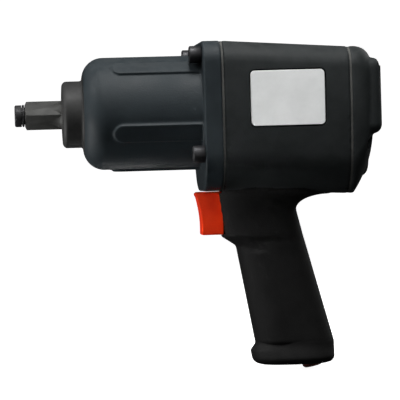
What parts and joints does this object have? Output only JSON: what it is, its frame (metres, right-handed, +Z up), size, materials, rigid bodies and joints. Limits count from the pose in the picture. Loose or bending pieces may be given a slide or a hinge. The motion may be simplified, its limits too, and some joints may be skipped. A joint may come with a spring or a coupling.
{
  "type": "air impact wrench",
  "caption": "Pistol-grip air impact wrench with a square drive, ribbed hammer case, raked handle, sliding finger trigger and reverse knob.",
  "frame": {"origin": "centre of the square drive's end face", "axes": "+X back along the drive axis, +Z up, handle along -Z, labelled side towards -Y"},
  "size_m": [0.2226, 0.08, 0.2028],
  "materials": {
    "cast_case": "painted slate grey casting",
    "housing_shell": "fine matte moulded composite",
    "hard_steel": "ground and oiled",
    "bright_steel": "bright",
    "dark_steel": "black oxide",
    "bronze": "sintered bronze",
    "brass": "turned",
    "red_plastic": "satin red",
    "plug_plastic": "soft red plastic",
    "black_plastic": "moulded",
    "vane": "phenolic laminate",
    "gasket": "pressed gasket sheet",
    "seal": "nitrile",
    "label": "plain satin plate, unprinted"
  },
  "bodies": {
    "housing": {"hammer_case": "cast_case", "nose_seal": "seal", "nose_bushing": "bronze", "case_gasket": "gasket", "motor_housing": "housing_shell", "front_end_plate": "hard_steel", "front_bearing": "bright_steel", "motor_cylinder": "hard_steel", "rear_end_plate": "hard_steel", "rear_bearing": "bright_steel", "rear_gasket": "gasket", "rear_cover": "housing_shell", "valve_bushing": "brass", "valve_spring": "bright_steel", "base_cap": "housing_shell", "inlet_bushing": "bright_steel", "inlet_screen": "bright_steel", "dust_plug": "plug_plastic", "label_plate": "label", "case_bolt_1": "dark_steel", "cover_screw_1": "dark_steel", "case_bolt_2": "dark_steel", "cover_screw_2": "dark_steel", "case_bolt_3": "dark_steel", "cover_screw_3": "dark_steel", "case_bolt_4": "dark_steel", "cover_screw_4": "dark_steel"},
    "rotor_group": {"rotor": "hard_steel", "hammer_cage": "dark_steel", "upper_hammer_pin": "bright_steel", "lower_hammer_pin": "bright_steel", "rotor_vane_1": "vane", "rotor_vane_2": "vane", "rotor_vane_3": "vane", "rotor_vane_4": "vane", "rotor_vane_5": "vane", "rotor_vane_6": "vane"},
    "anvil_group": {"anvil": "hard_steel", "socket_ring": "bright_steel"},
    "front_hammer": {"front_hammer": "hard_steel"},
    "rear_hammer": {"rear_hammer": "hard_steel"},
    "trigger_group": {"trigger": "red_plastic", "trigger_rod": "bright_steel", "throttle_valve": "brass"},
    "reverse_group": {"reverse_knob": "black_plastic", "reverse_valve": "brass"}
  },
  "joints": [
    {"name": "rotor_spin", "type": "hinge", "parent": "housing", "child": "rotor_group", "pos_m": [0, 0, 0], "axis": [1, 0, 0], "continuous": true},
    {"name": "anvil_spin", "type": "hinge", "parent": "housing", "child": "anvil_group", "pos_m": [0, 0, 0], "axis": [1, 0, 0], "continuous": true},
    {"name": "front_hammer_rock", "type": "hinge", "parent": "rotor_group", "child": "front_hammer", "pos_m": [0.0602, 0, 0.0206], "axis": [1, 0, 0], "range_deg": [-3, 3]},
    {"name": "rear_hammer_rock", "type": "hinge", "parent": "rotor_group", "child": "rear_hammer", "pos_m": [0.0602, 0, -0.0206], "axis": [1, 0, 0], "range_deg": [-3, 3]},
    {"name": "trigger_pull", "type": "slide", "parent": "housing", "child": "trigger_group", "axis": [1, 0, 0], "range_m": [0, 0.006], "stiffness_N_per_m": 900, "springref_m": -0.004, "deforming": ["valve_spring"]},
    {"name": "reverse_turn", "type": "hinge", "parent": "housing", "child": "reverse_group", "pos_m": [0.204, 0, -0.0306], "axis": [1, 0, 0], "range_deg": [-45, 45]}
  ],
  "couplings": [
    {"joint": "anvil_spin", "follows": "rotor_spin", "ratio": 1}
  ]
}
